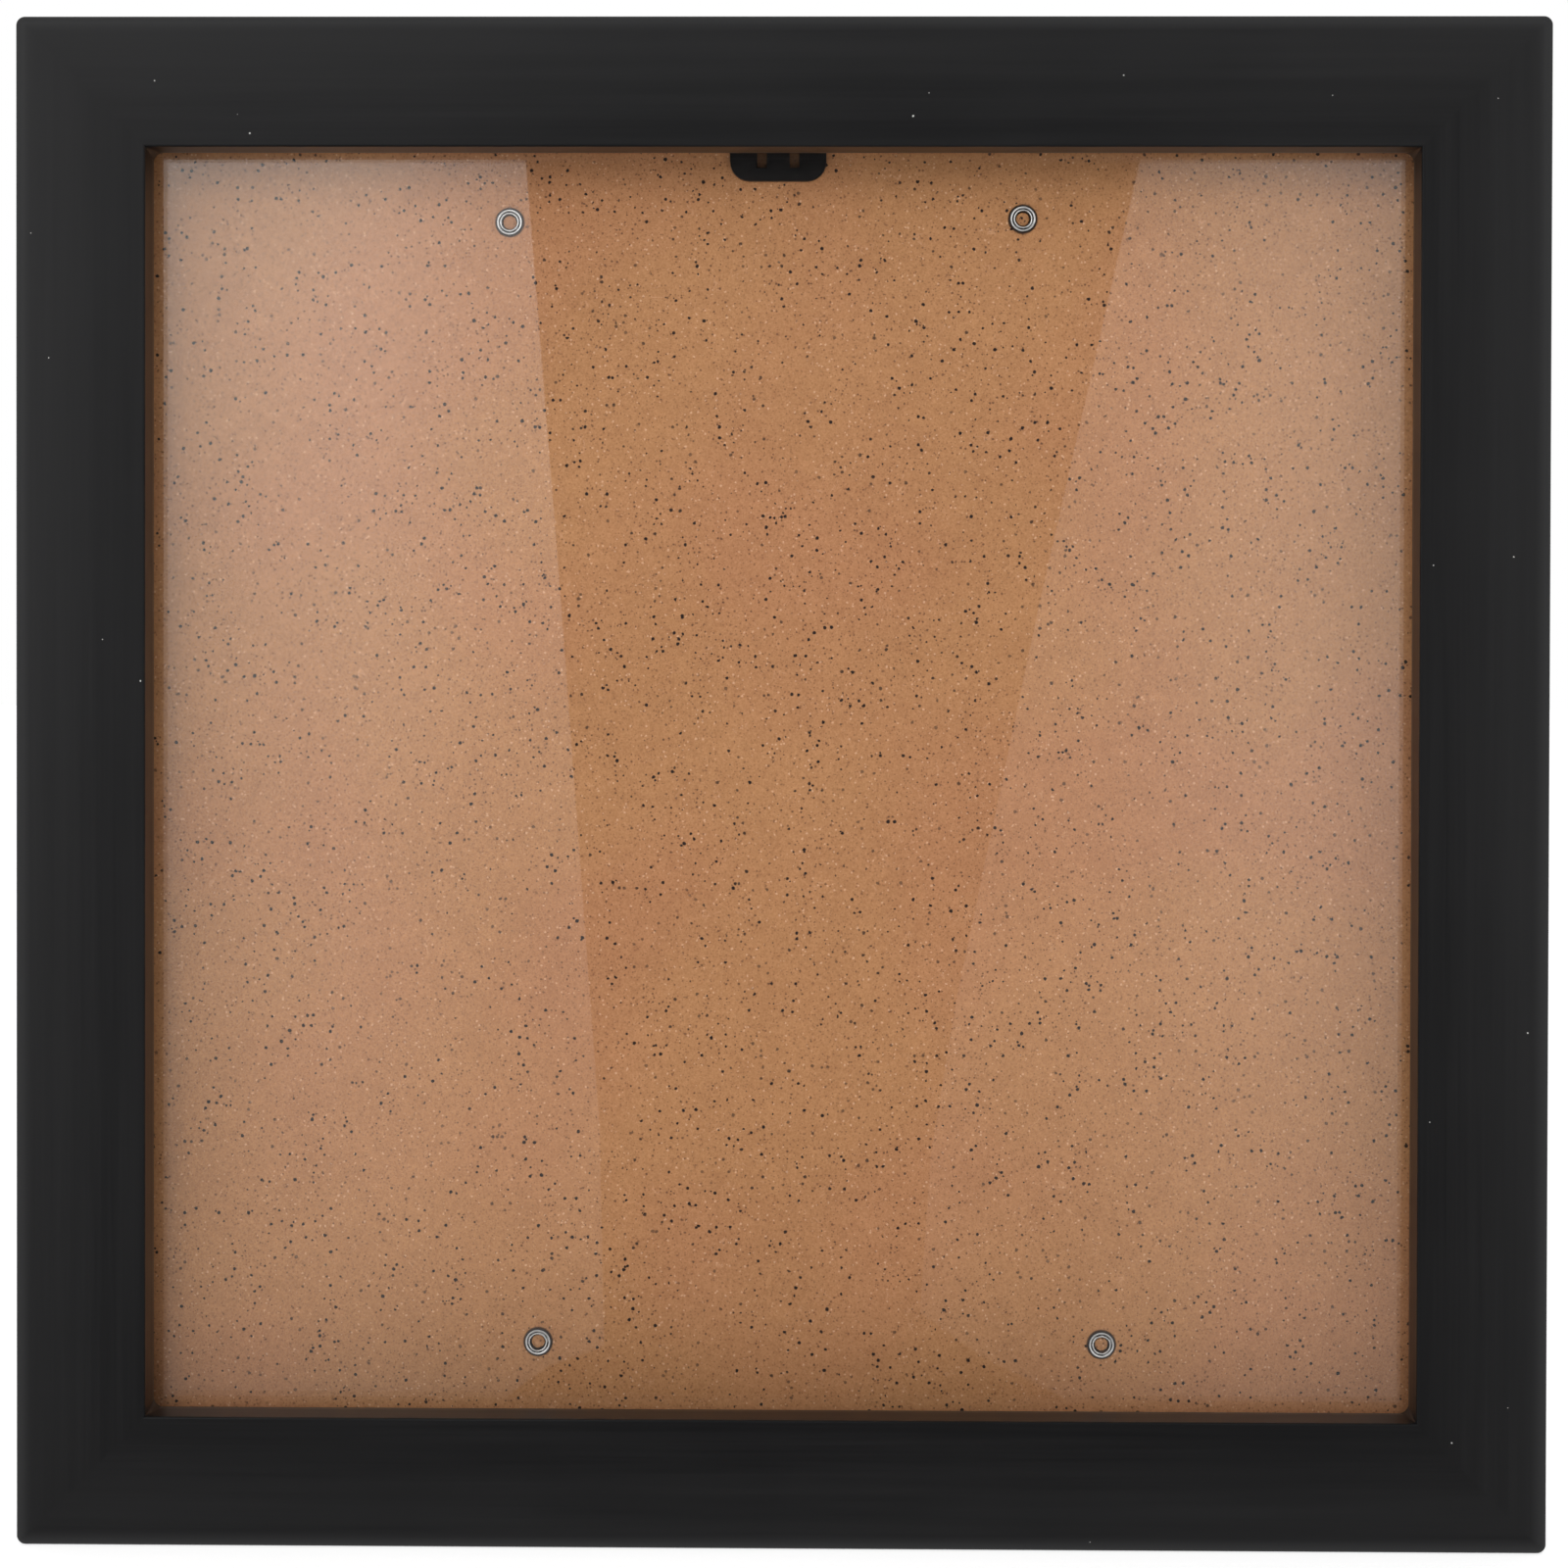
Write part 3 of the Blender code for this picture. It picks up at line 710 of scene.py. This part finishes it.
def moulding_section():
    """The moulding's outline as (distance from the middle, depth, rounding of its corner in plan)."""
    rim = (HALF - RIM_WIDTH, RIM_DROP)
    section = []
    for across, depth in arc(rim, (RIM_WIDTH, RIM_DROP), 0, -90, RIM_STEPS):
        section.append((across, depth, PLAN_RADIUS * (1 - (HALF - across) / RIM_WIDTH)))
    inner = (SIGHT_HALF + INNER_ARRIS, INNER_ARRIS)
    section += [(across, depth, 0) for across, depth in arc(inner, INNER_ARRIS, -90, -180, INNER_STEPS)]
    wall = LIP_DEPTH - LIP_REAR_ARRIS
    for i in range(FILLET_STEPS):
        share = (i + 1) / FILLET_STEPS
        depth = INNER_ARRIS + (wall - INNER_ARRIS) * share
        section.append((SIGHT_HALF, depth, PAINT_FILLET * share))
    section.append((SIGHT_HALF + LIP_REAR_ARRIS, LIP_DEPTH, PAINT_FILLET))
    section += [(REBATE_HALF, LIP_DEPTH, 0), (REBATE_HALF, KERF_FRONT, 0), (KERF_HALF, KERF_FRONT, 0)]
    section += [(KERF_HALF, KERF_BACK, 0), (REBATE_HALF, KERF_BACK, 0)]
    section += [(REBATE_HALF, DEPTH - BACK_ARRIS, 0), (REBATE_HALF + BACK_ARRIS, DEPTH, 0)]
    section += [(HALF - BACK_ARRIS, DEPTH, BACK_PLAN_RADIUS), (HALF, DEPTH - BACK_ARRIS, PLAN_RADIUS)]
    return section


def moulding_mesh(name, turn):
    """One length of moulding, mitred at both ends and turned to its side of the square."""
    build = bmesh.new()
    section = moulding_section()
    spin = Matrix.Rotation(math.radians(turn), 3, "Y")
    stations = [MITRE * (1 - i / MITRE_STEPS) for i in range(MITRE_STEPS + 1)]

    def station(side, degrees):
        ring = []
        angle = math.radians(degrees)
        for across, depth, radius in section:
            middle = across - radius
            along = middle + radius * math.sin(angle)
            height = middle + radius * math.cos(angle)
            ring.append(build.verts.new(MIDDLE + spin @ Vector((side * along, depth, height))))
        return ring

    loops = [station(-1, degrees) for degrees in stations]
    loops += [station(1, degrees) for degrees in reversed(stations)]
    bridge(build, loops)
    bmesh.ops.remove_doubles(build, verts=build.verts, dist=WELD)
    return mesh_from(build, name)


def nail_cutter(corner):
    """A slightly swollen copy of a V nail, drawn out through the back, that cuts its pocket in the wood."""
    build = welded("v_nail_" + corner)
    bmesh.ops.recalc_face_normals(build, faces=build.faces)
    for vert in build.verts:
        vert.co += vert.normal * NAIL_CLEARANCE
        if vert.co.y > LOW.y + DEPTH / 2:
            vert.co.y = LOW.y + DEPTH + MM
    mesh = bpy.data.meshes.new("nail_cutter")
    build.to_mesh(mesh)
    build.free()
    cutter = bpy.data.objects.new("nail_cutter", mesh)
    bpy.context.scene.collection.objects.link(cutter)
    return cutter


def add_moulding(paints):
    cutters = {corner: nail_cutter(corner) for corner in CORNERS}
    for node, turn in SIDES.items():
        paint = paints["along_rails" if node.startswith("rail") else "along_stiles"]
        mesh = moulding_mesh("moulding_" + node, turn)
        length = piece("moulding_" + node, mesh, "frame", paint, (node,))
        for corner, corner_turn in CORNERS.items():
            apart = abs(turn - corner_turn) % 360
            if min(apart, 360 - apart) == MITRE:
                pocket = length.modifiers.new(corner, "BOOLEAN")
                pocket.operation = "DIFFERENCE"
                pocket.object = cutters[corner]
                pocket.solver = "EXACT"
        applied(length)
        length.data.set_sharp_from_angle(angle=SMOOTH_ANGLE)
        applied(even_shading(length))
    for cutter in cutters.values():
        bpy.data.objects.remove(cutter)


def rivet_profile():
    """Domed head behind, then a tube whose mouth is rolled over into two low rings in front."""
    front = BOARD_FRONT - SUNK
    crest = front - FLARE_RISE
    bottom = front + 1.9 * MM
    head_front = BOARD_BACK + HEAD_LIFT
    profile = [(0, bottom), (BORE * 0.9, bottom), (BORE, bottom - 0.1 * MM), (BORE, crest + 0.5 * MM)]
    profile += arc((INNER_RING, crest + 0.2 * MM), INNER_RING_SIZE, 180, 350, RING_STEPS)
    profile += [(CREASE, crest + 0.4 * MM)]
    profile += arc((OUTER_RING, crest + 0.32 * MM), OUTER_RING_SIZE, 190, 360, RING_STEPS)
    profile += [(FLARE, front - 0.12 * MM), (FLARE - 0.06 * MM, front), (TUBE, front), (TUBE, head_front)]
    profile += [(HEAD - 0.1 * MM, head_front)]
    for across, rise in arc((0, 0), 1, -12, 84, HEAD_STEPS):
        profile.append((HEAD * across, head_front + HEAD_RISE * (HEAD_RIM + (1 - HEAD_RIM) * rise)))
    profile.append((0, head_front + HEAD_RISE))
    return profile


def add_rivet(corner):
    """Each mouth is hammered over a little differently, while its bore and its head stay round."""
    node = "rivet_" + corner
    lots = random.Random("rivet " + corner)
    waves = [(count, lots.uniform(0.002, 0.007), lots.uniform(0, math.tau)) for count in DENTS]

    def wobble(angle, radius):
        if radius < BORE * 1.05 or radius > HEAD * 0.85:
            return 0
        return sum(size * math.sin(count * angle + start) for count, size, start in waves)

    mesh = turned(node, rivet_profile(), axis_of(node), wobble)
    finish_name = "bright zinc plate, rivet " + corner.replace("_", " ")
    steel = zinc_plate(finish_name, colour(0.82, 0.82, 0.81), colour(0.97, 0.97, 0.95), 0.08, node)
    piece("flared_" + node, mesh, "back_panel", steel, (node,))


def add_plug(corner, board):
    """The disc of board that the rivet punched out, with a crumbled rim."""
    lots = random.Random("plug " + corner)
    start = lots.uniform(0, 100)
    front = BOARD_FRONT + PLUG_SUNK
    back = front + PLUG_LENGTH
    profile = [(0, front), (PLUG_RADIUS * 0.5, front + 0.01 * MM), (PLUG_RADIUS * 0.8, front + 0.02 * MM)]
    profile += [(PLUG_RADIUS * 0.94, front + 0.07 * MM), (PLUG_RADIUS, front + 0.22 * MM)]
    profile += [(PLUG_RADIUS, back), (0, back)]

    def wobble(angle, reach):
        crumbled = Vector((3 * math.cos(angle), 3 * math.sin(angle), start + reach / MM))
        return 0.05 * noise.noise(crumbled)

    centre = axis_of("rivet_" + corner)
    mesh = turned("punched_plug_" + corner, profile, centre, wobble, segments=PLUG_TURNS)
    piece("board_plug_" + corner, mesh, "back_panel", board, ("punched_plug_" + corner,))


def add_torn_fibres(corner, board):
    """Crumbs of board that the rivet's mouth tore up, thickest on one side."""
    lots = random.Random("crumbs " + corner)
    heavy = lots.uniform(0, math.tau)
    centre = axis_of("rivet_" + corner)
    build = bmesh.new()
    for _ in range(CRUMBS):
        angle = lots.gauss(heavy, 1.3)
        reach = FLARE + lots.uniform(0.12, 1.15) ** 1.5 * MM
        size = lots.uniform(0.1, 0.3) * MM
        made = bmesh.ops.create_icosphere(build, subdivisions=2, radius=1.0)["verts"]
        shape = Vector((size * lots.uniform(0.7, 1.7), size * 0.35, size * lots.uniform(0.5, 1.0)))
        spin = Matrix.Rotation(lots.uniform(0, math.tau), 3, "Y")
        middle = Vector((reach * math.cos(angle), BOARD_FRONT - size * 0.12, reach * math.sin(angle)))
        shift = Vector((lots.uniform(0, 100), 0, 0))
        for vert in made:
            lump = 1 + 0.55 * noise.noise(vert.co * 1.7 + shift)
            vert.co = centre + middle + spin @ Vector([a * b * lump for a, b in zip(vert.co, shape)])
    piece("torn_fibres_" + corner, mesh_from(build, "torn_fibres"), "back_panel", board)


def add_back(finishes):
    """The board and everything that is fastened to it."""
    board = finishes["board"]
    steel = finishes["steel"]
    eased_copy("backboard", "hardboard_back", BOARD_EDGE, "back_panel", board, 2)
    for corner in RIVET_NAMES:
        add_rivet(corner)
        add_plug(corner, board)
        add_torn_fibres(corner, board)
        node = "turn_button_" + corner
        eased_copy(node, "pressed_" + node, PRESSED_EDGE, "button_" + corner, steel)
    hanger = finishes["plastic"]
    eased_copy("wall_hanger", "moulded_hanger", MOULDED_EDGE, "back_panel", hanger)


def add_inside(finishes):
    """The pane, the spacer strips and the V nails."""
    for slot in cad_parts["glass_pane"].material_slots:
        slot.material = finishes["glass"]
    for side in ("top", "bottom", "left", "right"):
        strip = "spacer_strip_" + side
        eased_copy("spacer_" + side, strip, STRIP_EDGE, "frame", finishes["strip"], 2)
    for corner in CORNERS:
        node = "v_nail_" + corner
        eased_copy(node, "folded_" + node, NAIL_EDGE, "frame", finishes["steel"], 2)


# ---------------------------------------------------------------- studio


def stage_sheet(name, corners, finish):
    """A flat sheet of the studio that isn't part of the box."""
    mesh = bpy.data.meshes.new(name)
    mesh.from_pydata(corners, [], [range(len(corners))])
    mesh.materials.append(finish)
    sheet = bpy.data.objects.new(name, mesh)
    bpy.context.scene.collection.objects.link(sheet)
    return sheet


def add_screen(name, outline, depth, finish):
    """A sheet in front of the box that only shows mirrored in it, and lights nothing else."""
    sheet = stage_sheet(name, [place(x, depth, z) for x, z in outline], finish)
    sheet.visible_camera = False
    sheet.visible_diffuse = False
    sheet.visible_transmission = False
    sheet.visible_shadow = False


def screen_outline(gap, outer):
    """A screen from its side of the gap out to the x given."""
    inner = [(x * MM, z * MM) for x, z in gap]
    outline = [(outer, SCREEN_HALF), (inner[0][0], SCREEN_HALF)] + inner
    return outline + [(inner[-1][0], -SCREEN_HALF), (outer, -SCREEN_HALF)]


def add_screens():
    left = screen_glow(
        "left screen", gap_side=-95 * MM, far_side=-190 * MM, dimmed=0.55,
        base=0.4, low_gain=0.58, high_gain=0.72
    )
    right = screen_glow(
        "right screen", gap_side=70 * MM, far_side=215 * MM, dimmed=0.3,
        base=0.45, low_gain=0.6, high_gain=0.0
    )
    add_screen("left_screen", screen_outline(GAP_LEFT, -SCREEN_HALF), SCREEN_DEPTH, left)
    add_screen("right_screen", screen_outline(GAP_RIGHT, SCREEN_HALF), SCREEN_DEPTH, right)
    card = [(-CARD_HALF, SCREEN_HALF), (CARD_HALF, SCREEN_HALF)]
    card += [(CARD_HALF, -SCREEN_HALF), (-CARD_HALF, -SCREEN_HALF)]
    add_screen("dark_gap", card, CARD_DEPTH, unlit_card())


def add_floor():
    corners = [(-1, -1), (1, -1), (1, 1), (-1, 1)]
    corners = [Vector((x * FLOOR_HALF, y * FLOOR_HALF, LOW.z)) for x, y in corners]
    floor = stage_sheet("floor", corners, studio_white())
    floor.visible_glossy = False


def add_surroundings():
    """White surroundings, brightest in front and behind, with some light from above."""
    world = bpy.data.worlds.new("soft white studio")
    bpy.context.scene.world = world
    sky = Finish(world)
    along = sky.split(sky.node("TexCoord", out="Generated")).also("Y")
    up = along.also("Z").clipped()
    strength = SKY_BASE + along * along * along * along * SKY_FACING + up * up * SKY_UP
    seen = sky.node("LightPath", out="Is Camera Ray")
    strength = strength * (1.0 - seen) + seen
    brightest = SKY_BASE + SKY_FACING + SKY_UP
    sky.finished(sky.light("Background", strength, brightest), "OutputWorld")


def add_soft_box():
    lamp = bpy.data.lights.new("soft box", "AREA")
    lamp.shape = "SQUARE"
    lamp.size = LAMP_SIZE
    lamp.energy = LAMP_WATTS
    box = bpy.data.objects.new("soft_box", lamp)
    bpy.context.scene.collection.objects.link(box)
    box.visible_glossy = False
    box.location = place(*LAMP_PLACE)
    box.rotation_euler = (MIDDLE - box.location).to_track_quat("-Z", "Y").to_euler()


def add_camera():
    data = bpy.data.cameras.new("camera")
    data.lens = CAMERA_LENS
    data.shift_y = CAMERA_SHIFT
    camera = bpy.data.objects.new("camera", data)
    bpy.context.scene.collection.objects.link(camera)
    camera.location = place(*CAMERA_PLACE)
    level = math.cos(CAMERA_PITCH)
    ahead = Vector((math.sin(CAMERA_YAW) * level, math.cos(CAMERA_YAW) * level, -math.sin(CAMERA_PITCH)))
    camera.rotation_mode = "QUATERNION"
    camera.rotation_quaternion = ahead.to_track_quat("-Z", "Y") @ Quaternion((0, 0, 1), CAMERA_ROLL)
    bpy.context.scene.camera = camera


def main():
    bpy.context.scene.view_settings.view_transform = "Standard"
    paints = {
        "along_rails": satin_paint("satin black, grain along the rails", "x"),
        "along_stiles": satin_paint("satin black, grain along the stiles", "z"),
    }
    finishes = {
        "board": hardboard(),
        "glass": clear_glass(),
        "steel": zinc_plate("dull zinc plate", grey(0.3), colour(0.52, 0.52, 0.51), 0.26),
        "plastic": moulded_plastic(),
        "strip": stained_strip(),
    }
    add_moulding(paints)
    add_inside(finishes)
    add_back(finishes)
    add_floor()
    add_screens()
    add_surroundings()
    add_soft_box()
    add_camera()


main()
